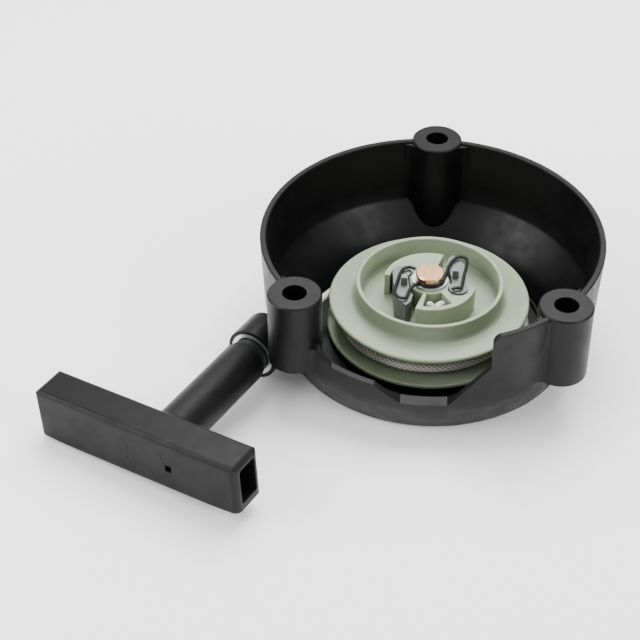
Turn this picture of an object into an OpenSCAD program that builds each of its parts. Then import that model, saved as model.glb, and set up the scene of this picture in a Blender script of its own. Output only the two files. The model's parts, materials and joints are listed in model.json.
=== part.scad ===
// Pull-cord recoil starter for a small two-stroke engine.
// Z = 0 is the flat face that the housing rests on, the reel turns about the Z axis,
// and the open side that bolts to the engine faces +Z. All sizes are in millimetres.

/* [Housing] */
// Outer radius of the open rim
rim_r = 60; // [50:0.5:75]
// Height from the resting face to the tops of the three screw bosses
housing_h = 46; // [42:0.5:60]
// How far the rim stands below the boss tops
rim_drop = 0.7; // [0.3:0.1:2]
// Thickness of the outer wall
wall_t = 2.3; // [1.8:0.1:3.5]
// Radius that the outer wall loses between the rim and the shoulder
wall_draft = 1.2; // [0.5:0.1:2.5]
// Height of the crease where the wall meets the sloping floor
crease_z = 19.6; // [17:0.2:24]
// Thickness of the flat floor
floor_t = 2.4; // [1.8:0.1:3.2]
// Gap between the lower reel flange and the rib that rings it
rib_gap = 4.4; // [2:0.2:8]
// Height of the rib above the flat floor
rib_h = 1.6; // [0.8:0.1:2.2]
// Width of the rib
rib_w = 1.1; // [0.8:0.1:2]
// Radius that the skirt loses between the shoulder and its foot
skirt_in = 7.8; // [4:0.2:12]
// Height of the shoulder where the wall turns into the skirt
shoulder_z = 16; // [13:0.5:19]
// Number of stiffening ribs under the sloping floor
under_ribs = 12; // [6:1:24]

/* [Screw bosses] */
// Outer radius of a boss
boss_r = 9.2; // [7:0.1:12]
// Radius of the hole through a boss
boss_hole_r = 4.1; // [2.6:0.1:5]
// Length of a boss
boss_len = 27.6; // [20:0.2:34]
// How far inside the rim radius the boss axes lie
boss_inset = 1.2; // [0:0.1:4]
// Angle of the rear boss
boss_rear_az = 90; // [80:1:100]
// Angle of the left boss
boss_left_az = 221; // [212:1:228]
// Angle of the right boss
boss_right_az = 320; // [312:1:330]
// Fillet between a boss and the wall
boss_fillet = 4; // [2:0.5:7]

/* [Front window] */
// Height of the low wall at the left of the window
low_wall_z = 24.1; // [20:0.1:30]
// Height of the bottom of the notch
notch_z = 16.9; // [15:0.1:22]
// Half the width of the bottom of the notch
notch_half = 7.8; // [5:0.1:12]
// Distance from the reel axis to the left end of the left slope
slope_left_x = 16.6; // [14:0.2:22]
// Distance from the reel axis to the upright right edge of the window
window_right_x = 21.4; // [19:0.2:28]
// Height of the foot of the upright right edge
window_step_z = 32.2; // [28:0.2:36]

/* [Reel] */
// Radius of the upper flange
flange_r = 35.8; // [31:0.1:40]
// How much wider the lower flange is
lower_flange_extra = 0.6; // [0:0.1:1.5]
// Thickness of a flange
flange_t = 1.7; // [1.2:0.1:2.5]
// Gap between the housing floor and the lower flange
reel_lift = 2.1; // [1.2:0.1:3]
// Width of the rope groove between the flanges
groove_w = 9.1; // [6:0.1:12]
// Radius of the drum that the rope winds on
drum_r = 24.3; // [22:0.1:28]
// Outer radius of the raised ring that shrouds the engine's starter cup
ring_r = 26.3; // [24:0.1:30]
// Thickness of the raised ring
ring_t = 1.5; // [1.2:0.1:2.5]
// Height of the raised ring above the upper flange
ring_h = 7.2; // [5:0.1:10]
// Depth of the cup floor below the top of the upper flange
cup_sink = 2.2; // [1:0.1:3.5]
// Thickness of the web under the cup
web_t = 5.4; // [3.5:0.1:7]
// Outer radius of the hub tower
hub_r = 7.2; // [6.2:0.1:8.4]
// Outer radius of the two raised blocks
block_r = 16.5; // [15.5:0.1:18]
// Height of the raised blocks above the cup floor
block_h = 9; // [6:0.1:11]
// Height of the hub tower above the cup floor
hub_h = 8.9; // [6:0.1:11]
// Radius of the well for the mainspring under the reel
well_r = 22; // [18:0.1:23]

/* [Axle and retainer] */
// Radius of the fixed axle bush that the reel turns on
axle_r = 4.2; // [3.5:0.1:5]
// Radial running clearance of the reel on the axle bush
axle_play = 0.05; // [0.02:0.01:0.1]
// Radius of the bore through the axle bush
axle_bore_r = 2.55; // [2:0.05:2.8]
// Radius of the shank of the centre pin
pin_shank_r = 2.5; // [1.9:0.05:2.7]
// Radius of the head of the centre pin
pin_head_r = 5.05; // [4.6:0.05:6.5]
// Thickness of the head of the centre pin
pin_head_t = 1.6; // [1:0.1:2.5]
// Radius of the neck that the friction spring grips
pin_neck_r = 4.4; // [3.8:0.1:4.6]
// Thickness of the thrust washer
washer_t = 1; // [0.6:0.1:1.6]
// Radius of the thrust washer
washer_r = 6.4; // [6:0.1:8]
// Radius of the moulded collar that the mainspring hooks on
collar_r = 6.3; // [5.6:0.1:7]

/* [Pawls and friction spring] */
// Distance from the reel axis to the pivot of a pawl
pawl_pivot_r = 10.9; // [10.7:0.1:12.5]
// Angle of the pivot of the first pawl
pawl_pivot_az = 159; // [155:1:163]
// Radius of the round heel of a pawl
pawl_heel_r = 3.3; // [2.8:0.1:3.4]
// Length from the pivot to the tip of a pawl
pawl_len = 19.2; // [18:0.1:20]
// Height of a pawl
pawl_h = 9.4; // [6:0.1:11]
// Side of the square peg on a pawl
peg_w = 2.2; // [1.6:0.1:2.4]
// Height of the peg above the pawl
peg_h = 3.1; // [2:0.1:4]
// Diameter of the friction spring's wire
wire_d = 1.3; // [0.8:0.1:1.4]

/* [Rope] */
// Diameter of the rope
rope_d = 2.9; // [2.4:0.1:3.2]
// Turns of rope in the full lower layer
rope_turns = 3; // [2:1:3]
// How much the turns press into each other
rope_squeeze = 0.25; // [0.1:0.05:0.4]

/* [Rope guide] */
// Direction of the pull, as an angle about the reel axis
pull_az = -117; // [-125:1:-110]
// Distance from the reel axis to the pull line
pull_off = 39.2; // [34:0.2:44]
// Height of the pull line
pull_z = 12.5; // [12:0.1:13.5]
// How far the guide stands out of the wall along the pull line
guide_out = 10.4; // [6:0.2:16]
// Outer radius of the guide
guide_r = 9.6; // [8.6:0.1:11]
// Outer radius of the ferrule
ferrule_r = 8.2; // [7.6:0.1:8.6]
// Length of the ferrule
ferrule_len = 9; // [7:0.5:12]
// Radius of the mouth of the ferrule
ferrule_mouth_r = 6.8; // [6.4:0.1:7.2]

/* [Handle] */
// Radius of the shank
shank_r = 7.8; // [6.6:0.1:9]
// Length from the guide's mouth to the back of the bar
shank_len = 48.2; // [35:0.2:65]
// Radius of the neck that seats in the ferrule
neck_r = 6.5; // [5:0.1:6.5]
// Length of the grip bar
bar_len = 81; // [66:1:110]
// How far the middle of the bar lies to one side of the shank
bar_shift = 5; // [0:0.5:8]
// Depth of the bar, front to back
bar_d = 13.4; // [12:0.2:20]
// Height of the bar at its ends
bar_h = 18.9; // [17.2:0.1:24]
// How far the middle of the bar's height lies above the pull line
bar_rise = 1.6; // [0:0.1:3]
// How far the lower edge bows down in the middle
bar_bow = 2; // [0:0.1:3]
// Tilt of the bar about the shank
bar_tilt = 3; // [0:0.5:5]
// Wall around the hollow ends of the bar
bar_wall = 2.6; // [2:0.1:3.5]
// Radius of the round cap in the front of the bar
cap_r = 7.7; // [6.8:0.1:7.9]
// Thickness of the cap
cap_t = 1.8; // [1.2:0.1:2.5]

/* [Mainspring] */
// Thickness of the spring strip
strip_t = 0.4; // [0.3:0.05:0.6]
// Turns of the spring at rest
strip_turns = 7; // [4:1:9]

/* [Hidden] */
$fn = 96;

eps = 0.01;
gap = 0.3;        // clearance between pieces that move past each other
slip = 0.05;      // radial clearance of pieces pushed together by hand

// heights of the stack along the reel axis
lower_flange_z = floor_t + reel_lift;
groove_z = lower_flange_z + flange_t;
upper_flange_z = groove_z + groove_w;
deck_z = upper_flange_z + flange_t;
cup_z = deck_z - cup_sink;
web_z = cup_z - web_t;
hub_z = cup_z + hub_h;
washer_z = hub_z + 0.1;
wire_z = washer_z + washer_t + 0.05 + wire_d / 2;
head_z = wire_z + wire_d / 2 + 0.05;
shim_t = 0.3;
collar_top = web_z - shim_t - 0.1;

// housing radii
shoulder_r = rim_r - wall_draft;
skirt_r = shoulder_r - skirt_in;
crease_r = shoulder_r - wall_t;
lower_flange_r = flange_r + lower_flange_extra;
rib_r = lower_flange_r + rib_gap;
floor_r = rib_r + rib_w + 0.5;
boss_pitch = rim_r - boss_inset;
boss_z = housing_h - boss_len;
rim_z = housing_h - rim_drop;

// the pull line in the frame that is turned by pull_az: x runs outward along the pull
mouth_x = sqrt(rim_r * rim_r - pull_off * pull_off) + guide_out;
eye_x = mouth_x - ferrule_len;

// rope run from the coil to the eye of the ferrule
rope_r = rope_d / 2;
turn_step = rope_d - rope_squeeze;
layer1_r = drum_r + 0.1 + rope_r;
layer2_r = layer1_r + rope_d - 0.15;
layer3_r = layer2_r + sqrt(rope_d * rope_d - turn_step * turn_step / 4) - 0.08;
lead_r = layer2_r + rope_d + gap + 0.05;
low_turn_z = groove_z + 0.1 + rope_r;
eye_dist = norm([eye_x, pull_off]);
lead_az = atan2(-pull_off, eye_x) - acos(lead_r / eye_dist);
lead_len = sqrt(eye_dist * eye_dist - lead_r * lead_r);

// rotates a drawing so that x runs along the pull line, from the foot of its perpendicular
module on_pull(x = 0) {
    rotate([0, 0, pull_az]) translate([x, -pull_off, pull_z]) children();
}

module along_pull(x, len, r, r2 = -1) {
    on_pull(x) rotate([0, 90, 0]) cylinder(h = len, r1 = r, r2 = r2 < 0 ? r : r2);
}

function arc(cx, cy, r, a0, a1, n = 8) =
    [for (i = [0:n]) [cx + r * cos(a0 + (a1 - a0) * i / n), cy + r * sin(a0 + (a1 - a0) * i / n)]];

// ---------------------------------------------------------------- housing

// slope of the floor cone, and the offset of its underside
cone_dir = [crease_r - floor_r, crease_z - floor_t];
cone_n = [cone_dir[1], -cone_dir[0]] * (wall_t / norm(cone_dir));
cone_slope = cone_dir[1] / cone_dir[0];
base_r = floor_r + cone_n[0] - (floor_t + cone_n[1]) / cone_slope;

// the turned shell: wall, rounded shoulder, skirt, sloping floor and flat floor
skirt_a = atan2(skirt_in, shoulder_z);
bend_r = 20;
bend_run = bend_r * tan(skirt_a / 2);
module shell_profile() {
    foot = 1.2;
    ledge_z = 4.3;
    ledge_r = skirt_r + skirt_in * ledge_z / shoulder_z;
    polygon(concat(
        [[0, 0], [base_r, 0]],
        [[crease_r - 1.2, shoulder_z - 1.2 * cone_slope * 0.9], [crease_r - 1.5, shoulder_z - 2.6]],
        [[skirt_r - wall_t, 0], [skirt_r - foot + 0.2, 0], [skirt_r + 0.4, foot]],
        [[ledge_r - 0.3, ledge_z], [ledge_r, ledge_z + 0.3]],
        arc(shoulder_r - bend_r, shoulder_z + bend_run, bend_r, -skirt_a, 0, 5),
        [[rim_r, rim_z - 0.4], [rim_r - 0.4, rim_z], [rim_r - wall_t + 0.4, rim_z], [rim_r - wall_t, rim_z - 0.4]],
        [[crease_r, crease_z + 1.2], [crease_r - 0.6, crease_z]],
        [[floor_r, floor_t], [rib_r + rib_w, floor_t], [rib_r + rib_w - 0.1, floor_t + rib_h]],
        [[rib_r + 0.1, floor_t + rib_h], [rib_r, floor_t], [0, floor_t]]));
}

// outline of the front window, drawn as seen from the front
module window_outline() {
    ramp = 4;
    round_r = 3;
    left = -rim_r;
    boss_x = boss_pitch * cos(boss_left_az) + boss_r;
    mid_x = (notch_half + window_right_x) / 2;
    mid_z = low_wall_z + 0.7;
    polygon(concat(
        [[left, housing_h + 5], [left, low_wall_z + ramp], [boss_x - 1, low_wall_z + ramp]],
        [[boss_x + 4, low_wall_z], [-slope_left_x, low_wall_z - 1], [-notch_half, notch_z]],
        [[notch_half, notch_z], [mid_x, mid_z]],
        [[window_right_x - 1, window_step_z - 1.4], [window_right_x, window_step_z]],
        arc(window_right_x + round_r, rim_z - round_r, round_r, 180, 90, 6),
        [[window_right_x + round_r, housing_h + 5]]));
}

// concave fillets in plan between a boss and the wall, outside and inside
module boss_web(side, wall_r, sgn) {
    c_r = wall_r + sgn * boss_fillet;
    b_r = boss_r + boss_fillet;
    ang = side * acos((c_r * c_r + boss_pitch * boss_pitch - b_r * b_r) / (2 * c_r * boss_pitch));
    c = c_r * [cos(ang), sin(ang)];
    a_wall = atan2(-sgn * sin(ang), -sgn * cos(ang));
    a_raw = atan2(-c[1], boss_pitch - c[0]);
    a_boss = a_raw - 360 * round((a_raw - a_wall) / 360);
    sink = 0.4;
    steps = 5;
    rim = [for (i = [0:steps]) let (a = a_wall + (a_boss - a_wall) * i / steps,
        r = boss_fillet + (i == 0 || i == steps ? sink : 0)) c + r * [cos(a), sin(a)]];
    polygon(concat([[boss_pitch - sgn * 0.8, side * 2]], rim));
}

module at_bosses() {
    for (az = [boss_rear_az, boss_left_az, boss_right_az]) rotate([0, 0, az]) children();
}

// below its outer end a boss is kept only inside the bowl, down to the sloping floor
module boss_posts() {
    edge = 0.5;
    at_bosses() difference() {
        translate([boss_pitch, 0, floor_t + 4]) {
            cylinder(h = housing_h - floor_t - 4 - edge, r = boss_r);
            translate([0, 0, housing_h - floor_t - 4 - edge])
                cylinder(h = edge, r1 = boss_r, r2 = boss_r - edge);
        }
        rotate_extrude() polygon([
            [floor_r - 4, -1], [floor_r - 4, floor_t - 1.2], [floor_r, floor_t - 1.2],
            [crease_r + 1, crease_z - 1.2], [crease_r + 1, boss_z], [rim_r + boss_r, boss_z],
            [rim_r + boss_r, -1]]);
    }
}

module boss_webs() {
    at_bosses() for (side = [-1, 1]) {
        translate([0, 0, boss_z + 0.2]) linear_extrude(rim_z - boss_z - 0.9)
            boss_web(side, shoulder_r, 1);
        translate([0, 0, crease_z - 1.5]) linear_extrude(rim_z - crease_z + 0.7)
            boss_web(side, crease_r + 0.2, -1);
    }
}

module boss_holes() {
    at_bosses() translate([boss_pitch, 0, -1]) cylinder(h = housing_h + 2, r = boss_hole_r);
}

// solid of the rope guide: the outer tube and the duct that carries the rope inward
duct_r = rope_r + 1.6;
module guide_solid() {
    along_pull(eye_x - 3, mouth_x - eye_x + 3, guide_r);
    on_pull(eye_x) rotate([0, 0, lead_az - 90]) rotate([0, 90, 0])
        translate([0, 0, -2]) cylinder(h = 11, r = duct_r + 1.8);
}

module guide_bores() {
    along_pull(eye_x, ferrule_len + 1, ferrule_r + slip);
    on_pull(eye_x) rotate([0, 0, lead_az - 90]) rotate([0, 90, 0])
        translate([0, 0, -1]) cylinder(h = 18, r = duct_r);
}

// ribs in the hollow between the sloping floor and the skirt
module underside_ribs() {
    intersection() {
        for (i = [0:under_ribs - 1]) rotate([0, 0, 360 * (i + 0.5) / under_ribs])
            translate([base_r - 1, -0.8, 1]) cube([rim_r - base_r, 1.6, shoulder_z]);
        rotate_extrude() polygon([[base_r - 2, 0], [skirt_r - 1, 0], [shoulder_r - 1.2, shoulder_z],
                                  [crease_r - 1, shoulder_z], [base_r - 2, 1]]);
    }
}

module housing() {
    color("#26272a") difference() {
        union() {
            difference() {
                union() {
                    rotate_extrude() shell_profile();
                    boss_webs();
                }
                // the front window is cut by a core drawn straight out towards the front
                translate([0, -floor_r, 0]) rotate([90, 0, 0]) linear_extrude(rim_r) window_outline();
            }
            boss_posts();
            underside_ribs();
            guide_solid();
            translate([0, 0, 1]) cylinder(h = collar_top - 1, r = collar_r);
            translate([0, 0, 1]) cylinder(h = bush_flange_z + bush_flange_t + pad_t - 1, r = pad_r);
        }
        boss_holes();
        guide_bores();
        // bore for the axle bush and recess for its flange and for the centre screw
        translate([0, 0, -1]) cylinder(h = housing_h, r = axle_r);
        translate([0, 0, -1]) cylinder(h = 1 + bush_flange_z + bush_flange_t, r = bush_flange_r);
        // slot in the collar that takes the hook of the mainspring
        rotate([0, 0, strip_a0 - 8]) translate([collar_r - 1.6, -0.6, bush_flange_z + bush_flange_t + pad_t + 0.2])
            cube([3, 1.2, collar_top]);
    }
}

// flanged bush that the rope runs through and the neck of the handle seats in
module rope_guide() {
    eye_r = rope_r + 0.4;
    depth = 3.6;
    color("#c3c8c6") difference() {
        along_pull(eye_x + 0.05, ferrule_len - 0.05, ferrule_r);
        along_pull(mouth_x - depth, depth + 1, ferrule_mouth_r);
        along_pull(mouth_x - depth - 2.4 + eps, 2.4, eye_r + 0.3, ferrule_mouth_r);
        along_pull(eye_x - 1, ferrule_len, eye_r);
        along_pull(eye_x - eps, 1.4, eye_r + 1.4, eye_r);
    }
}

// ---------------------------------------------------------------- axle and retainer

pad_r = 10;         // pad that thickens the floor round the axle bush
pad_t = 1.3;
bush_flange_r = 7.5;
bush_flange_t = 0.8;
bush_flange_z = 2;
screw_head_r = 4;
screw_head_t = 1.4;
screw_r = 1.5;
screw_len = 8;

module axle_bush() {
    color("#9b9da0") difference() {
        union() {
            translate([0, 0, bush_flange_z]) cylinder(h = washer_z - bush_flange_z, r = axle_r);
            translate([0, 0, bush_flange_z]) cylinder(h = bush_flange_t, r = bush_flange_r);
        }
        translate([0, 0, -1]) cylinder(h = housing_h, r = axle_bore_r);
    }
}

module centre_pin() {
    edge = 0.35;
    color("#c9a36b") difference() {
        union() {
            translate([0, 0, bush_flange_z + 0.6]) cylinder(h = head_z - bush_flange_z - 0.6, r = pin_shank_r);
            translate([0, 0, washer_z + washer_t]) cylinder(h = head_z - washer_z - washer_t, r = pin_neck_r);
            translate([0, 0, head_z]) cylinder(h = pin_head_t - edge, r = pin_head_r);
            translate([0, 0, head_z + pin_head_t - edge - eps])
                cylinder(h = edge + eps, r1 = pin_head_r, r2 = pin_head_r - edge);
        }
        translate([0, 0, 0]) cylinder(h = screw_len + bush_flange_z + 1, r = screw_r);
    }
}

module screw_washer() {
    color("#8d9093") translate([0, 0, bush_flange_z - 0.5]) difference() {
        cylinder(h = 0.5, r = screw_head_r + 0.8);
        translate([0, 0, -1]) cylinder(h = 3, r = screw_r + 0.1);
    }
}

module centre_screw() {
    color("#8d9093") difference() {
        union() {
            translate([0, 0, bush_flange_z - 0.5 - screw_head_t]) cylinder(h = screw_head_t, r = screw_head_r);
            translate([0, 0, bush_flange_z - 0.6]) cylinder(h = screw_len, r = screw_r);
        }
        for (a = [0, 90]) rotate([0, 0, a])
            translate([-2, -0.35, bush_flange_z - 0.5 - screw_head_t - 1]) cube([4, 0.7, 1.8]);
    }
}

module thrust_shim() {
    color("#b5b8bb") translate([0, 0, collar_top + 0.02]) difference() {
        cylinder(h = shim_t, r = collar_r);
        translate([0, 0, -1]) cylinder(h = 3, r = axle_r + slip);
    }
}

module thrust_washer() {
    color("#a4a6a8") translate([0, 0, washer_z]) difference() {
        cylinder(h = washer_t, r = washer_r);
        translate([0, 0, -1]) cylinder(h = 4, r = pin_shank_r + slip);
    }
}

// ---------------------------------------------------------------- reel

// outline of a pawl about its pivot, x towards the tip
tip_z_gap = 0.2;
module pawl_outline(grow = 0) {
    circle(r = pawl_heel_r + grow);
    l = pawl_len;
    polygon([[0, -pawl_heel_r - grow], [l * 0.7, -3.4 - grow], [l - 2.9, -2.1 - grow], [l + grow, 0],
             [l - 1.9, 1.8 + grow], [l * 0.71, 2.9 + grow], [l * 0.5, 2 + grow], [l * 0.22, 1.9 + grow],
             [0, pawl_heel_r - 1 + grow]]);
}
pawl_rest_az = -83.4;
pawl_swing = 20;

module at_pawl(i) {
    rotate([0, 0, 180 * i]) rotate([0, 0, pawl_pivot_az]) translate([pawl_pivot_r, 0, 0])
        rotate([0, 0, pawl_rest_az - pawl_pivot_az]) children();
}

// the room that a pawl sweeps from its rest to its outer stop
module pawl_room(i) {
    at_pawl(i) for (a = [0, -pawl_swing * 0.25, -pawl_swing * 0.5, -pawl_swing * 0.75, -pawl_swing])
        rotate([0, 0, a]) pawl_outline(0.35);
}

// plan of one raised block, from the side of one pawl's tip round to the other pawl's heel
block_a0 = 254;
block_a1 = 351;
module block_plan() {
    difference() {
        circle(r = block_r);
        rotate([0, 0, block_a1]) translate([-2 * block_r, 0]) square([4 * block_r, 2 * block_r]);
        rotate([0, 0, block_a0 - 180]) translate([-2 * block_r, 0]) square([4 * block_r, 2 * block_r]);
    }
}

// the pocket that holds the knot of the rope
knot_r = 12.2;
knot_az = 283;
module knot_pocket() {
    translate([0, 0, cup_z + 0.6]) linear_extrude(block_h + 1) difference() {
        intersection() {
            circle(r = block_r - 1.8);
            rotate([0, 0, 262]) square(2 * block_r);
            rotate([0, 0, 214]) square(2 * block_r);
        }
        circle(r = hub_r + 0.2);
    }
}

module reel_profile() {
    ring_top = deck_z + ring_h;
    ring_in = ring_r - ring_t;
    f = 2;
    polygon(concat(
        [[axle_r + axle_play, web_z], [well_r, web_z], [well_r, lower_flange_z]],
        [[lower_flange_r - 0.3, lower_flange_z], [lower_flange_r, lower_flange_z + 0.4]],
        [[lower_flange_r, groove_z - 0.4], [lower_flange_r - 0.4, groove_z]],
        [[drum_r, groove_z], [drum_r, upper_flange_z], [flange_r - 0.3, upper_flange_z]],
        [[flange_r, upper_flange_z + 0.3], [flange_r, deck_z - 0.5], [flange_r - 0.5, deck_z]],
        arc(ring_r + f, deck_z + f, f, 270, 180, 5),
        [[ring_r, ring_top - 0.2], [ring_r - 0.3, ring_top], [ring_in + 0.3, ring_top], [ring_in, ring_top - 0.3]],
        [[ring_in, cup_z + 1], [ring_in - 1, cup_z], [hub_r + 0.6, cup_z], [hub_r, cup_z + 0.6]],
        [[hub_r, hub_z - 0.3], [hub_r - 0.3, hub_z], [axle_r + axle_play, hub_z]]));
}

module reel() {
    color("#aeb89f") difference() {
        union() {
            rotate_extrude() reel_profile();
            for (i = [0, 1]) rotate([0, 0, 180 * i])
                translate([0, 0, cup_z - 0.5]) linear_extrude(block_h + 0.5) block_plan();
        }
        for (i = [0, 1]) translate([0, 0, cup_z]) linear_extrude(block_h + 5) pawl_room(i);
        knot_pocket();
        translate([0, 0, -1]) cylinder(h = housing_h, r = axle_r + axle_play);
        // rope hole: in through the drum, then up into the knot pocket
        rotate([0, 0, knot_az]) {
            translate([knot_r, 0, web_z + web_t / 2]) rotate([0, 90, 0])
                cylinder(h = drum_r, r = rope_r + 0.2);
            translate([knot_r, 0, web_z + web_t / 2]) cylinder(h = web_t + 2, r = rope_r + 0.2);
            translate([knot_r, 0, web_z + web_t / 2]) sphere(r = rope_r + 0.2);
        }
    }
}

// ---------------------------------------------------------------- mainspring

case_t = 0.6;
case_r = well_r - slip;
case_z = lower_flange_z + 0.1;
module spring_case() {
    color("#7f8386") rotate_extrude() polygon([
        [collar_r + 1, web_z - slip], [case_r, web_z - slip], [case_r, case_z], [case_r - case_t, case_z],
        [case_r - case_t, web_z - slip - case_t], [collar_r + 1, web_z - slip - case_t]]);
}

strip_a0 = 30;
strip_r0 = collar_r + 0.5;
strip_r1 = case_r - case_t - 0.3 - strip_t;
function spiral(r_add, n, rev) = [for (k = [0:n]) let (i = rev ? n - k : k, a = strip_a0 + 360 * strip_turns * i / n,
    r = strip_r0 + (strip_r1 - strip_r0) * i / n + r_add) r * [cos(a), sin(a)]];
module mainspring() {
    n = strip_turns * 24;
    z0 = floor_t + reel_lift + 0.3;
    color("#5d666e") translate([0, 0, z0]) linear_extrude(web_z - case_t - 0.4 - z0)
        polygon(concat(spiral(0, n, false), spiral(strip_t, n, true)));
}

// ---------------------------------------------------------------- rope

module ring_of_rope(r, z) {
    rotate_extrude() translate([r, z]) circle(r = rope_r);
}

module rope_coil() {
    color("#e6e3d8") {
        for (i = [0:rope_turns - 1]) ring_of_rope(layer1_r, low_turn_z + turn_step * i);
        for (i = [0:rope_turns - 1]) ring_of_rope(layer2_r, low_turn_z + turn_step * i);
        ring_of_rope(layer3_r, low_turn_z + turn_step / 2);
        // the end that dives through the drum
        rotate([0, 0, knot_az]) translate([knot_r + rope_r + 0.3, 0, web_z + web_t / 2]) rotate([0, 90, 0])
            cylinder(h = layer1_r - knot_r - rope_r - 0.3, r = rope_r);
    }
}

module reel_knot() {
    z = cup_z + block_h - 3;
    color("#ece9df") rotate([0, 0, knot_az]) {
        translate([knot_r, 0, web_z + web_t / 2]) cylinder(h = z - web_z - web_t / 2, r = rope_r);
        for (s = [-1, 1]) translate([knot_r - 0.2, s * 2.1, z + 1.2]) sphere(r = 2.05);
        translate([knot_r - 0.2, -2.1, z + 1.2]) rotate([-90, 0, 0]) cylinder(h = 4.2, r = 1.9);
    }
}

module rope_lead() {
    color("#e6e3d8") intersection() {
        on_pull(eye_x) rotate([0, 0, lead_az - 90]) rotate([0, 90, 0]) translate([0, 0, -4])
            cylinder(h = lead_len + 4, r = rope_r);
        rotate([0, 0, pull_az]) translate([-200 + eye_x - 0.05, -200, 0]) cube([200, 400, housing_h]);
    }
}

knot_x = mouth_x + shank_len + 3;
module rope_run() {
    color("#e6e3d8") along_pull(eye_x, knot_x - eye_x + 0.5, rope_r);
}

// ---------------------------------------------------------------- friction spring and pawls

pawl_z = cup_z + tip_z_gap;
module pawl(i) {
    color("#8f9193") at_pawl(i) {
        translate([0, 0, pawl_z]) linear_extrude(pawl_h) pawl_outline();
        translate([6.7, 0.4, pawl_z + pawl_h + peg_h / 2 - eps]) rotate([0, 0, -pawl_rest_az])
            cube([peg_w, peg_w, peg_h + 2 * eps], center = true);
    }
}
module pawl_a() { pawl(0); }
module pawl_b() { pawl(1); }

// half of the wire's route, from the neck out round one peg and back; the other half is turned by 180
grip_r = pin_neck_r + wire_d / 2 + 0.05;
half_route = [[-5.4, 4.4], [-7.7, 5.3], [-10, 3.4], [-11.4, -2.9], [-12.1, -9], [-10.8, -12],
              [-8.2, -12.3], [-6.6, -7]];
function turned(p) = [-p[0], -p[1]];
route = concat(
    half_route,
    [for (a = [222:12:342]) grip_r * [cos(a), sin(a)]],
    [for (p = [[-6.6, -7], [-8, -10.7], [-10.2, -12.9], [-12.4, -12.2], [-13, -9], [-12, -1.8], [-11.2, 4.6]])
        turned(p)],
    [[9.4, -5.4], [7.9, -6.3]]);

// sweeps a round wire along flat points, with mitred joints
module flat_wire(pts, r, z, sides = 8) {
    n = len(pts);
    function dir(i) = let (a = pts[max(i - 1, 0)], b = pts[min(i + 1, n - 1)]) (b - a) / norm(b - a);
    rings = [for (i = [0:n - 1]) let (d = dir(i)) for (k = [0:sides - 1])
        let (t = 360 * (k + 0.5) / sides)
        [pts[i][0] - d[1] * r * cos(t), pts[i][1] + d[0] * r * cos(t), z + r * sin(t)]];
    faces = concat(
        [[for (k = [0:sides - 1]) k]],
        [for (i = [0:n - 2]) for (k = [0:sides - 1])
            let (a = i * sides + k, b = i * sides + (k + 1) % sides) [a, a + sides, b + sides, b]],
        [[for (k = [sides - 1:-1:0]) (n - 1) * sides + k]]);
    polyhedron(points = rings, faces = faces, convexity = 6);
}

module friction_spring() {
    color("#1d1e20") flat_wire(route, wire_d / 2, wire_z);
}

// ---------------------------------------------------------------- handle

// frame of the bar: x along the pull from the guide's mouth, y along the bar, z up
module at_bar() {
    on_pull(mouth_x) rotate([bar_tilt, 0, 0]) children();
}

module rounded_box_plan(x0, x1, y0, y1, r) {
    translate([x0 + r, y0]) square([x1 - x0 - 2 * r, y1 - y0]);
    translate([x0, y0 + r]) square([x1 - x0, y1 - y0 - 2 * r]);
    for (x = [x0 + r, x1 - r], y = [y0 + r, y1 - r]) translate([x, y]) circle(r = r);
}

module bar_solid() {
    y0 = -bar_len / 2 - bar_shift;
    y1 = bar_len / 2 - bar_shift;
    low = bar_rise - bar_h / 2;
    top = bar_rise + bar_h / 2;
    corner = 3;
    steps = 12;
    intersection() {
        // front view: flat top edge, bowed lower edge
        translate([shank_len, 0, 0]) rotate([90, 0, 90]) linear_extrude(bar_d) polygon(concat(
            [[y1, low]], arc(y1 - corner, top - corner, corner, 0, 90), arc(y0 + corner, top - corner, corner, 90, 180),
            [for (i = [0:steps]) [y0 + (y1 - y0) * i / steps, low - bar_bow * sin(180 * i / steps)]]));
        // end view: rounded long edges
        translate([0, y1, 0]) rotate([90, 0, 0]) linear_extrude(bar_len)
            rounded_box_plan(shank_len, shank_len + bar_d, low - bar_bow, top, 2);
        // plan: rounded corners
        translate([0, 0, -bar_h]) linear_extrude(2 * bar_h)
            rounded_box_plan(shank_len, shank_len + bar_d, y0, y1, 2.4);
    }
}

pocket_r = 6.4;
module bar_tunnels() {
    core = 11;      // half of the solid middle of the bar
    y0 = -bar_len / 2 - bar_shift;
    y1 = bar_len / 2 - bar_shift;
    in_x0 = shank_len + bar_wall;
    in_x1 = shank_len + bar_d - bar_wall;
    in_h = bar_h / 2 - bar_wall;
    for (e = [[core, y1 + 1], [y0 - 1, -core]])
        translate([0, e[1], 0]) rotate([90, 0, 0]) linear_extrude(e[1] - e[0])
            rounded_box_plan(in_x0, in_x1, bar_rise - in_h, bar_rise + in_h, 1);
}

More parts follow.
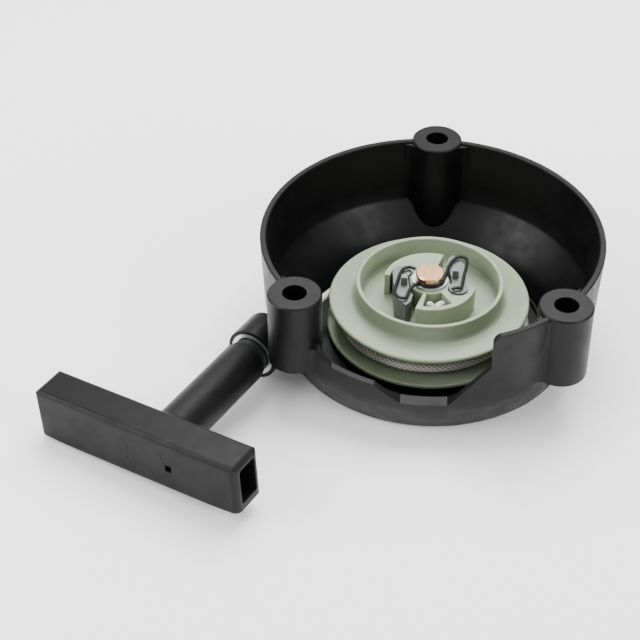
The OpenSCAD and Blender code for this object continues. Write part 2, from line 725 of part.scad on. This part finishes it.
module handle_grip() {
    seat = 2.6;         // how far the neck reaches into the ferrule
    flare = 4.5;        // length over which the neck widens into the shank
    bare = 0.8;         // stretch of neck that shows outside the ferrule
    color("#2b2c2f") difference() {
        union() {
            along_pull(mouth_x - seat + 1, seat + 1, neck_r);
            along_pull(mouth_x - seat, 1, neck_r - 1, neck_r);
            along_pull(mouth_x + bare, flare, neck_r, shank_r);
            along_pull(mouth_x + bare + flare, shank_len - flare - bare + 1, shank_r);
            // flared root where the shank meets the bar
            on_pull(mouth_x + shank_len - 4) rotate([90, 0, 90]) rotate_extrude()
                polygon([[0, 0], [shank_r - 0.2, 0], [shank_r + 0.3, 2], [shank_r + 0.9, 4.5], [0, 4.5]]);
            at_bar() bar_solid();
        }
        along_pull(mouth_x - seat - 1, shank_len + seat + 10, rope_r + 0.35);
        at_bar() bar_tunnels();
        // knot pocket and seat of the cap, open to the front
        along_pull(knot_x - 0.6, bar_d, pocket_r);
        along_pull(mouth_x + shank_len + bar_d - cap_t, cap_t + 1, cap_r + slip);
        // prising notch beside the cap
        at_bar() translate([shank_len + bar_d - 1.6, cap_r - 1, -1.3]) cube([3, 3.4, 2.6]);
    }
}

module handle_cap() {
    lip = 1.2;
    color("#2b2c2f") difference() {
        union() {
            along_pull(mouth_x + shank_len + bar_d - cap_t, cap_t, cap_r);
            along_pull(mouth_x + shank_len + bar_d - cap_t - 2, 2 + eps, pocket_r - slip);
        }
        along_pull(mouth_x + shank_len + bar_d - cap_t - 3, 3, pocket_r - lip);
    }
}

module knot_washer() {
    color("#a7aaad") difference() {
        along_pull(knot_x - 0.5, 0.8, pocket_r - 0.4);
        along_pull(knot_x - 2, 4, rope_r + slip);
    }
}

module handle_knot() {
    knot_x0 = knot_x + 0.35;
    room = mouth_x + shank_len + bar_d - cap_t - knot_x0;
    color("#ece9df") {
        on_pull(knot_x0 + room / 2) sphere(r = room / 2 - 0.15);
        on_pull(knot_x0 + room / 2) rotate([0, 30, 0]) rotate_extrude()
            translate([room / 2 - 1.3, 0]) circle(r = 1.25);
    }
}

housing();
rope_guide();
axle_bush();
centre_pin();
centre_screw();
screw_washer();
thrust_shim();
thrust_washer();
reel();
spring_case();
mainspring();
rope_coil();
reel_knot();
rope_lead();
rope_run();
friction_spring();
pawl_a();
pawl_b();
handle_grip();
handle_cap();
knot_washer();
handle_knot();
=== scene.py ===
import json
import math

import bmesh
import bpy
from mathutils import Matrix, Vector
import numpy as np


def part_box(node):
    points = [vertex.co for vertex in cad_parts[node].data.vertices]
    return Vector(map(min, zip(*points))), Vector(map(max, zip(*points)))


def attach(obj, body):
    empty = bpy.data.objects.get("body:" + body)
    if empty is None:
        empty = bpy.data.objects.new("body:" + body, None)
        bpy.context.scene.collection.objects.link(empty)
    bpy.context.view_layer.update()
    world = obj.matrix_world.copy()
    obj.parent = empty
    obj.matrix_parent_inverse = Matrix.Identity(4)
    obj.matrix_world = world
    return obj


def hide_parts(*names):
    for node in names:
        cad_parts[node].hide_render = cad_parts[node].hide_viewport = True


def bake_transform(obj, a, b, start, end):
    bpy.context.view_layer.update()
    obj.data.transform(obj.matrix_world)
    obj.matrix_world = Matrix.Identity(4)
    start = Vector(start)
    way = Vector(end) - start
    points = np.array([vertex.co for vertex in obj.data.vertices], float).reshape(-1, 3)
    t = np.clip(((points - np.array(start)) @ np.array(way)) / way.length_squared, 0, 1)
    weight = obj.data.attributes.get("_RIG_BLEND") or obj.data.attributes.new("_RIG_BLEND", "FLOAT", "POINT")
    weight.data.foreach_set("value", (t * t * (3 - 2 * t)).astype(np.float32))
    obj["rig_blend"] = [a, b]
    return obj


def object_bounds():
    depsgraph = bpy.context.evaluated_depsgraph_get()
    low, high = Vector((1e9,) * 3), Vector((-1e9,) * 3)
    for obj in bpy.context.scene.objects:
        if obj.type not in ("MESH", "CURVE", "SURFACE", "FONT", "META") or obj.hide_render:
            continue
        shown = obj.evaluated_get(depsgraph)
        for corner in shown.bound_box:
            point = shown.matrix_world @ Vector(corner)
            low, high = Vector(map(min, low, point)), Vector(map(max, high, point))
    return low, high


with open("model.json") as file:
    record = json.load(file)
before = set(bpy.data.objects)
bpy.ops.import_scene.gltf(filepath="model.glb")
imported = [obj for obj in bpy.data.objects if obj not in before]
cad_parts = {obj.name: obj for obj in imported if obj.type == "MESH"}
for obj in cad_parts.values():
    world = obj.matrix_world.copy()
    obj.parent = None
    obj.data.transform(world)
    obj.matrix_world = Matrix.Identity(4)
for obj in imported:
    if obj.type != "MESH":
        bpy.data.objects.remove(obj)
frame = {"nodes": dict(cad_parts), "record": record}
cad_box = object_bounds()
MM = 0.001

# ------------------------------------------------------------------ camera
# A short telephoto looks down on the open side from the front, rolled a little to the left.
camera_data = bpy.data.cameras.new("camera")
camera_data.lens = 90
camera_data.sensor_width = 36
camera = bpy.data.objects.new("camera", camera_data)
bpy.context.scene.collection.objects.link(camera)
camera_place = Vector((0, -0.4509, 0.3740))
aim = Vector((0, 0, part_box("housing")[1].z)) - camera_place
level = aim.to_track_quat("-Z", "Y").to_matrix()
nudge = (
    Matrix.Rotation(math.radians(-2.732), 3, "Z")
    @ Matrix.Rotation(math.radians(3.392), 3, "X")
    @ Matrix.Rotation(math.radians(-3.857), 3, "Y")
)
camera.matrix_world = Matrix.Translation(camera_place) @ (level @ nudge.transposed()).to_4x4()
bpy.context.scene.camera = camera

# ------------------------------------------------------------------ studio
# A flat floor of white paper under soft lamps: one large bank overhead and behind, one wide fill from
# the left and a weaker one from the right, in a white room.


def linear(hex_colour):
    """Turns an sRGB hex colour into linear red, green, blue and alpha."""
    parts = [int(hex_colour[i : i + 2], 16) / 255 for i in (1, 3, 5)]
    return [p / 12.92 if p <= 0.04045 else ((p + 0.055) / 1.055) ** 2.4 for p in parts] + [1]


def add(tree, kind, inputs=None, **settings):
    """Adds one shader node: settings are its own options, inputs are values or other nodes' sockets."""
    made = tree.nodes.new(kind)
    for name, value in settings.items():
        setattr(made, name, value)
    for socket, value in (inputs or {}).items():
        if isinstance(value, bpy.types.NodeSocket):
            tree.links.new(value, made.inputs[socket])
        else:
            made.inputs[socket].default_value = value
    return made


def new_material(name):
    """An empty node material with its output and a Principled shader joined up."""
    material = bpy.data.materials.new(name)
    material.use_nodes = True
    tree = material.node_tree
    tree.nodes.clear()
    shader = add(tree, "ShaderNodeBsdfPrincipled")
    add(tree, "ShaderNodeOutputMaterial", {"Surface": shader.outputs[0]})
    return material, tree, shader


def new_piece(name, bm):
    """Makes an object from a bmesh, with its place in its mesh."""
    mesh = bpy.data.meshes.new(name)
    bm.to_mesh(mesh)
    bm.free()
    piece = bpy.data.objects.new(name, mesh)
    bpy.context.scene.collection.objects.link(piece)
    return piece


paper, tree, shader = new_material("white sweep paper")
shader.inputs["Base Color"].default_value = linear("#fbfbfb")
shader.inputs["Roughness"].default_value = 0.9
shader.inputs["Specular IOR Level"].default_value = 0.1
bm = bmesh.new()
bmesh.ops.create_grid(bm, x_segments=1, y_segments=1, size=4)
bmesh.ops.translate(bm, verts=bm.verts, vec=(0, 0, cad_box[0][2] - 0.0002))
floor = new_piece("floor", bm)
floor.data.materials.append(paper)

world = bpy.data.worlds.new("studio room")
bpy.context.scene.world = world
world.use_nodes = True
world.node_tree.nodes["Background"].inputs["Color"].default_value = linear("#ffffff")
world.node_tree.nodes["Background"].inputs["Strength"].default_value = 1.0

for lamp_name, place, size, power in [
    ("bank_overhead", (0.05, 0.35, 0.85), 0.7, 17),
    ("fill_left", (-0.8, -0.25, 0.5), 0.6, 9),
    ("fill_right", (0.7, -0.5, 0.45), 0.4, 5),
]:
    lamp = bpy.data.lights.new(lamp_name, "AREA")
    lamp.size = size
    lamp.energy = power
    stand = bpy.data.objects.new(lamp_name, lamp)
    stand.location = place
    stand.rotation_euler = (Vector((0, 0, 0.03)) - Vector(place)).to_track_quat("-Z", "Y").to_euler()
    bpy.context.scene.collection.objects.link(stand)

# ------------------------------------------------------------------ housing
# One injection moulding in black glass-filled nylon. The wall is drawn, the three bosses and the
# rope guide grow out of it, and the mould leaves a faint satin grain.


def body_of_node(node):
    """The name of the CAD body that a node belongs to."""
    return next(b for b, members in frame["record"]["behaviour"]["bodies"].items() if node in members)


def finished_copy(node, material, sharp=30):
    """A welded copy of a CAD node, shaded smooth up to its sharp edges, that stands for the node."""
    bm = bmesh.new()
    bm.from_mesh(frame["nodes"][node].data)
    bmesh.ops.remove_doubles(bm, verts=bm.verts, dist=0.002 * MM)
    for face in bm.faces:
        face.smooth = True
        face.material_index = 0
    for edge in bm.edges:
        edge.smooth = edge.calc_face_angle(0) < math.radians(sharp)
    piece = new_piece(node + "_finished", bm)
    for attribute in [a.name for a in piece.data.attributes if a.name in ("custom_normal", "UVMap")]:
        piece.data.attributes.remove(piece.data.attributes[attribute])
    piece.data.materials.clear()
    piece.data.materials.append(material)
    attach(piece, body_of_node(node))
    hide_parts(node)
    return piece


def moulded_black(name, dark, pale, rough_low, rough_high, grain_mm):
    """Black moulded plastic: cloudy flow marks, an uneven satin skin and a fine grain."""
    material, tree, shader = new_material(name)
    place = add(tree, "ShaderNodeTexCoord").outputs["Object"]
    clouds = add(tree, "ShaderNodeTexNoise", {"Vector": place, "Scale": 1 / 0.035, "Detail": 4})
    skin = add(tree, "ShaderNodeTexNoise", {"Vector": place, "Scale": 1 / 0.006, "Detail": 5})
    tone = add(
        tree,
        "ShaderNodeMix",
        {0: clouds.outputs[0], 6: linear(dark), 7: linear(pale)},
        data_type="RGBA",
    )
    gloss = add(
        tree,
        "ShaderNodeMapRange",
        {
            "Value": skin.outputs[0],
            "From Min": 0.3,
            "From Max": 0.7,
            "To Min": rough_low,
            "To Max": rough_high,
        },
    )
    grain = add(tree, "ShaderNodeTexNoise", {"Vector": place, "Scale": 1 / (grain_mm * MM), "Detail": 2})
    round_edge = add(tree, "ShaderNodeBevel", {"Radius": 0.35 * MM}, samples=4)
    relief = add(
        tree,
        "ShaderNodeBump",
        {
            "Strength": 0.12,
            "Distance": 0.05 * MM,
            "Height": grain.outputs[0],
            "Normal": round_edge.outputs[0],
        },
    )
    tree.links.new(tone.outputs[2], shader.inputs["Base Color"])
    tree.links.new(gloss.outputs[0], shader.inputs["Roughness"])
    tree.links.new(relief.outputs[0], shader.inputs["Normal"])
    shader.inputs["IOR"].default_value = 1.5
    shader.inputs["Specular IOR Level"].default_value = 0.2
    return material


housing_nylon = moulded_black("glass-filled nylon, moulded satin black", "#030304", "#080809", 0.36, 0.5, 0.5)
finished_copy("housing", housing_nylon)

# ------------------------------------------------------------------ rope guide
# A turned aluminium bush pressed into the guide. Only its flared mouth shows round the grip's neck.


def turned_metal(name, colour, roughness, line_mm):
    """Bare metal with fine tool lines."""
    material, tree, shader = new_material(name)
    place = add(tree, "ShaderNodeTexCoord").outputs["Object"]
    lines = add(tree, "ShaderNodeTexNoise", {"Vector": place, "Scale": 1 / (line_mm * MM), "Detail": 6})
    gloss = add(
        tree,
        "ShaderNodeMapRange",
        {"Value": lines.outputs[0], "To Min": roughness - 0.08, "To Max": roughness + 0.1},
    )
    relief = add(tree, "ShaderNodeBump", {"Strength": 0.1, "Distance": 0.03 * MM, "Height": lines.outputs[0]})
    tree.links.new(gloss.outputs[0], shader.inputs["Roughness"])
    tree.links.new(relief.outputs[0], shader.inputs["Normal"])
    shader.inputs["Base Color"].default_value = linear(colour)
    shader.inputs["Metallic"].default_value = 1
    return material


guide_metal = turned_metal("aluminium, turned satin", "#d5dad8", 0.34, 0.6)
finished_copy("rope_guide", guide_metal)

# ------------------------------------------------------------------ axle and retainer
# A steel bush stands in the housing. The brass pin goes through it from the open side and
# is held by a screw from below; its smooth head caps the stack over a steel washer.
plated_steel = turned_metal("steel, zinc plated", "#b9bcbe", 0.36, 0.5)
for node in ("axle_bush", "centre_screw", "screw_washer", "thrust_shim", "thrust_washer"):
    finished_copy(node, plated_steel)
pin_brass = turned_metal("brass, turned and polished", "#d9ae84", 0.24, 1.2)
finished_copy("centre_pin", pin_brass)

# ------------------------------------------------------------------ reel
# Moulded in natural nylon. Light goes a few millimetres into it, so thin rims look pale and cool
# and the thick parts look greener and yellower.
reel_nylon, tree, shader = new_material("natural nylon, moulded")
place = add(tree, "ShaderNodeTexCoord").outputs["Object"]
clouds = add(tree, "ShaderNodeTexNoise", {"Vector": place, "Scale": 1 / 0.012, "Detail": 3})
tone = add(
    tree,
    "ShaderNodeMix",
    {0: clouds.outputs[0], 6: linear("#7d8b70"), 7: linear("#939e88")},
    data_type="RGBA",
)
grain = add(tree, "ShaderNodeTexNoise", {"Vector": place, "Scale": 1 / (0.7 * MM), "Detail": 2})
round_edge = add(tree, "ShaderNodeBevel", {"Radius": 0.3 * MM}, samples=4)
relief = add(
    tree,
    "ShaderNodeBump",
    {"Strength": 0.08, "Distance": 0.05 * MM, "Height": grain.outputs[0], "Normal": round_edge.outputs[0]},
)
tree.links.new(tone.outputs[2], shader.inputs["Base Color"])
tree.links.new(relief.outputs[0], shader.inputs["Normal"])
shader.inputs["Roughness"].default_value = 0.42
shader.inputs["IOR"].default_value = 1.53
shader.inputs["Subsurface Weight"].default_value = 0.6
shader.inputs["Subsurface Radius"].default_value = (1.0, 1.0, 0.6)
shader.inputs["Subsurface Scale"].default_value = 2.2 * MM
finished_copy("reel", reel_nylon, sharp=25)

# ------------------------------------------------------------------ mainspring
# A blued steel strip wound in a thin pressed case under the reel. It is hidden in use.
blued_steel = turned_metal("spring steel, blued", "#5a6672", 0.3, 0.8)
finished_copy("mainspring", blued_steel)
finished_copy("spring_case", plated_steel)

# ------------------------------------------------------------------ pawls
# Two sintered steel pawls, grey and finely pitted, with a square peg each.
sintered, tree, shader = new_material("sintered steel, tumbled")
place = add(tree, "ShaderNodeTexCoord").outputs["Object"]
pits = add(
    tree,
    "ShaderNodeTexNoise",
    {"Vector": place, "Scale": 1 / (0.9 * MM), "Detail": 8, "Roughness": 0.7},
)
tone = add(
    tree,
    "ShaderNodeMix",
    {0: pits.outputs[0], 6: linear("#2e3031"), 7: linear("#8f9190")},
    data_type="RGBA",
)
relief = add(tree, "ShaderNodeBump", {"Strength": 0.5, "Distance": 0.12 * MM, "Height": pits.outputs[0]})
tree.links.new(tone.outputs[2], shader.inputs["Base Color"])
tree.links.new(relief.outputs[0], shader.inputs["Normal"])
shader.inputs["Metallic"].default_value = 0.75
shader.inputs["Roughness"].default_value = 0.48
for node in ("pawl_a", "pawl_b"):
    finished_copy(node, sintered)

# ------------------------------------------------------------------ friction spring
# Hard black wire, bent cold into one loop round each pawl's peg and clipped on the pin's neck.


def tube_along(route, radius, sides, relief=None):
    """A closed round tube in a bmesh along a dense list of points, with its run and turn in a UV map.
    relief, if given, is the height of the surface above the radius at a distance along and an angle."""
    bm = bmesh.new()
    uv = bm.loops.layers.uv.new("along")
    lift = bm.verts.layers.float.new("strand")
    tangents = [
        (route[min(i + 1, len(route) - 1)] - route[max(i - 1, 0)]).normalized() for i in range(len(route))
    ]
    side = tangents[0].orthogonal().normalized()
    run = 0
    rings = []
    for i, point in enumerate(route):
        side = (side - tangents[i] * side.dot(tangents[i])).normalized()
        up = tangents[i].cross(side)
        if i:
            run += (point - route[i - 1]).length
        ring = []
        for k in range(sides):
            angle = math.tau * k / sides
            height = relief(run, angle) if relief else 0
            vert = bm.verts.new(point + (side * math.cos(angle) + up * math.sin(angle)) * (radius + height))
            vert[lift] = height
            ring.append(vert)
        rings.append((run, ring))
    for (run_a, a), (run_b, b) in zip(rings, rings[1:]):
        for k in range(sides):
            face = bm.faces.new((a[k], a[(k + 1) % sides], b[(k + 1) % sides], b[k]))
            corners = ((run_a, k), (run_a, k + 1), (run_b, k + 1), (run_b, k))
            for loop, (along, turn) in zip(face.loops, corners):
                loop[uv].uv = (along / MM, turn / sides)
    for ring in (rings[0][1], rings[-1][1]):
        bm.faces.new(ring)
    bmesh.ops.recalc_face_normals(bm, faces=bm.faces)
    for face in bm.faces:
        face.smooth = len(face.verts) == 4
    return bm


def smooth_route(points, steps):
    """A rounded path through listed points, given in millimetres."""
    points = [Vector(p) * MM for p in points]
    padded = [points[0] * 2 - points[1]] + points + [points[-1] * 2 - points[-2]]
    route = []
    for i in range(1, len(padded) - 2):
        p0, p1, p2, p3 = padded[i - 1 : i + 3]
        for k in range(steps):
            t = k / steps
            route.append(
                0.5
                * (
                    2 * p1
                    + (p2 - p0) * t
                    + (2 * p0 - 5 * p1 + 4 * p2 - p3) * t**2
                    + (3 * p1 - p0 - 3 * p2 + p3) * t**3
                )
            )
    return route + [points[-1]]


wire_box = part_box("friction_spring")
wire_r = (wire_box[1].z - wire_box[0].z) / 2
wire_z = (wire_box[1].z + wire_box[0].z) / 2 / MM
grip_r = 5.0
loop_a = [(-5.4, 4.4), (-7.7, 5.3), (-10, 3.4), (-11.4, -2.9)]
loop_a += [(-12.1, -9), (-10.8, -12), (-8.2, -12.3), (-6.6, -7)]
neck_turn = [math.radians(degrees) for degrees in range(222, 343, 24)]
neck = [(grip_r * math.cos(angle), grip_r * math.sin(angle)) for angle in neck_turn]
loop_b = [(6.6, 7), (8, 10.7), (10.2, 12.9), (12.4, 12.2), (13, 9)]
loop_b += [(12, 1.8), (11.2, -4.6), (9.4, -5.4), (7.9, -6.3)]
black_wire, tree, shader = new_material("spring wire, black oxide")
place = add(tree, "ShaderNodeTexCoord").outputs["Object"]
oxide = add(tree, "ShaderNodeTexNoise", {"Vector": place, "Scale": 1 / (2 * MM), "Detail": 4})
gloss = add(tree, "ShaderNodeMapRange", {"Value": oxide.outputs[0], "To Min": 0.22, "To Max": 0.42})
tree.links.new(gloss.outputs[0], shader.inputs["Roughness"])
shader.inputs["Base Color"].default_value = linear("#1b1c20")
shader.inputs["Metallic"].default_value = 0.6
wire_route = smooth_route([(x, y, wire_z) for x, y in loop_a + neck + loop_b], 8)
wire = new_piece("friction_spring_wire", tube_along(wire_route, wire_r, 12))
wire.data.materials.append(black_wire)
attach(wire, "friction_spring")
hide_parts("friction_spring")

# ------------------------------------------------------------------ rope
# Braided white nylon, six strands each way. It is knotted in the reel's pocket, dives through
# the drum, winds on in two layers and a bit, and runs through the guide to a knot inside the grip.
rope_r = 1.45 * MM
strands = 6
braid_pitch = 11 * MM
strand_lift = 0.16 * MM


def braid(run, angle):
    """Height of the braid: two sets of strands wound opposite ways, each riding over the other."""
    wind = math.tau * run / braid_pitch
    right = math.cos(strands * (angle + wind))
    left = math.cos(strands * (angle - wind))
    return strand_lift * (max(right, left) - 0.5)


rope_white, tree, shader = new_material("nylon braid, undyed, with painted groove shade")
# The colour below is painted shade: the rope is white where the strands stand highest and a brownish grey
# down in the grooves between them.
strand = add(tree, "ShaderNodeAttribute", attribute_name="strand").outputs["Fac"]
height = add(
    tree,
    "ShaderNodeMapRange",
    {"Value": strand, "From Min": -0.14 * MM, "From Max": 0.07 * MM},
)
tone = add(
    tree,
    "ShaderNodeMix",
    {0: height.outputs[0], 6: linear("#857c66"), 7: linear("#f2f0e8")},
    data_type="RGBA",
)
along = add(tree, "ShaderNodeTexCoord").outputs["UV"]
fibres = add(tree, "ShaderNodeTexNoise", {"Vector": along, "Scale": 9, "Detail": 3})
relief = add(tree, "ShaderNodeBump", {"Strength": 0.3, "Distance": 0.06 * MM, "Height": fibres.outputs[0]})
tree.links.new(tone.outputs[2], shader.inputs["Base Color"])
tree.links.new(relief.outputs[0], shader.inputs["Normal"])
shader.inputs["Roughness"].default_value = 0.62
shader.inputs["Sheen Weight"].default_value = 0.3
shader.inputs["IOR"].default_value = 1.53


def rope_piece(name, route, body, *nodes, radius=None):
    """Lays braided rope along a route and lets it stand for its CAD nodes."""
    piece = new_piece(name, tube_along(route, (radius or rope_r) - 0.5 * strand_lift, 24, braid))
    piece.data.materials.append(rope_white)
    if body:
        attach(piece, body)
    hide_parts(*nodes)
    return piece


def even_route(route, step):
    """The same path with points a fixed distance apart."""
    even = [route[0]]
    spare = 0
    for a, b in zip(route, route[1:]):
        length = (b - a).length
        at = step - spare
        while at <= length:
            even.append(a.lerp(b, at / length))
            at += step
        spare = length - (at - step)
    return even


coil_low, coil_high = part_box("rope_coil")
lead_low, lead_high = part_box("rope_lead")
low_z = coil_low.z + rope_r
top_z = coil_high.z - rope_r
outer_r = coil_high.x - rope_r
layer_r = [outer_r - 5.25 * MM, outer_r - 2.5 * MM, outer_r]
lead_z = (lead_low.z + lead_high.z) / 2
pull_az = math.radians(-117)
pull_off = 39.2 * MM
eye_x = 46.82 * MM
lead_r = 31.85 * MM
leave_az = pull_az + math.atan2(-pull_off, eye_x) - math.acos(lead_r / math.hypot(eye_x, pull_off))
hole_az = math.radians(283)


def polar(radius, azimuth, z):
    """A point from its distance and angle round the reel axis."""
    return Vector((radius * math.cos(azimuth), radius * math.sin(azimuth), z))


most_turns = 6.7  # at most this many from the hole to where the rope leaves the drum
inner_turns = 2.3
outer_turns = 1.4
climb = 0.6  # angle in radians over which the rope climbs to the next layer
hole_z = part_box("reel_knot")[0].z + rope_r
start = hole_az + 0.12
last = leave_az + math.tau * 8
while last - hole_az > math.tau * most_turns:
    last -= math.tau
second = start + math.tau * inner_turns
third = last - math.tau * outer_turns
wound = [polar(r * MM, hole_az, hole_z) for r in (14, 18, 22)]
turns = 1400
for i in range(turns + 1):
    azimuth = start + (last - start) * i / turns
    if azimuth < second:
        share = (azimuth - start) / (second - start)
        wound.append(polar(layer_r[0], azimuth, hole_z + (low_z - hole_z) * share))
    elif azimuth < third:
        share = (azimuth - second) / (third - second)
        step_out = min(1, (azimuth - second) / climb)
        radius = layer_r[0] + (layer_r[1] - layer_r[0]) * step_out
        height = math.sin(math.pi * share)
        wound.append(polar(radius, azimuth, low_z + (top_z - low_z) * height))
    else:
        share = (azimuth - third) / (last - third)
        step_out = min(1, (azimuth - third) / climb)
        radius = layer_r[1] + (layer_r[2] - layer_r[1]) * step_out
        radius += (lead_r - layer_r[2]) * max(0, share - 0.85) / 0.15
        wound.append(polar(radius, azimuth, low_z + (lead_z - low_z) * share**1.5))
rope_piece("rope_wound", even_route(wound, 0.45 * MM), "reel", "rope_coil")

eye = Matrix.Rotation(pull_az, 3, "Z") @ Vector((eye_x, -pull_off, lead_z))
leave = polar(lead_r, leave_az, lead_z)
# The knot is an overhand knot, pulled tight and pushed down into its pocket.
pocket = polar(12 * MM, hole_az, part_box("reel_knot")[1].z - 2.3 * MM)
knot_turn = Matrix.Rotation(hole_az + math.pi / 2, 3, "Z")
knot_route = []
knot_steps = 260
knot_share = 0.97  # the tail stops just short of where the knot began
for i in range(knot_steps + 1):
    t = math.tau * i / knot_steps * knot_share
    knot_route.append(
        pocket
        + knot_turn
        @ Vector(
            (
                2.15 * math.sin(t) + 0.75 * math.sin(2 * t),
                0.95 * math.cos(t) - 0.75 * math.cos(2 * t),
                0.85 * math.sin(3 * t) - 0.15,
            )
        )
        * MM
    )
rope_piece("reel_knot_tied", knot_route, "reel", "reel_knot", radius=0.93 * MM)

rope_piece("rope_to_guide", even_route([leave, eye], 0.4 * MM), "housing", "rope_lead")

# The stretch from the guide into the grip pays out as the grip is pulled, so it follows the
# housing at the guide's eye and the grip from its neck on.
run_low, run_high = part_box("rope_run")
out = Matrix.Rotation(pull_az, 3, "Z") @ Vector((1, 0, 0))
run_length = (run_high.y - run_low.y - 2 * rope_r * abs(out.x)) / abs(out.y)
run = rope_piece("rope_in_grip", even_route([eye, eye + out * run_length], 0.25 * MM), None, "rope_run")
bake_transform(run, "housing", "handle", start=eye, end=eye + out * 6 * MM)

# ------------------------------------------------------------------ handle
# A hollow T-shaped grip in black plastic with a flush cap over the knot.
handle_plastic = moulded_black("polypropylene, moulded matt black", "#060607", "#0b0b0c", 0.42, 0.55, 0.6)
finished_copy("handle_grip", handle_plastic)
finished_copy("handle_cap", handle_plastic)
finished_copy("knot_washer", plated_steel)
finished_copy("handle_knot", rope_white)
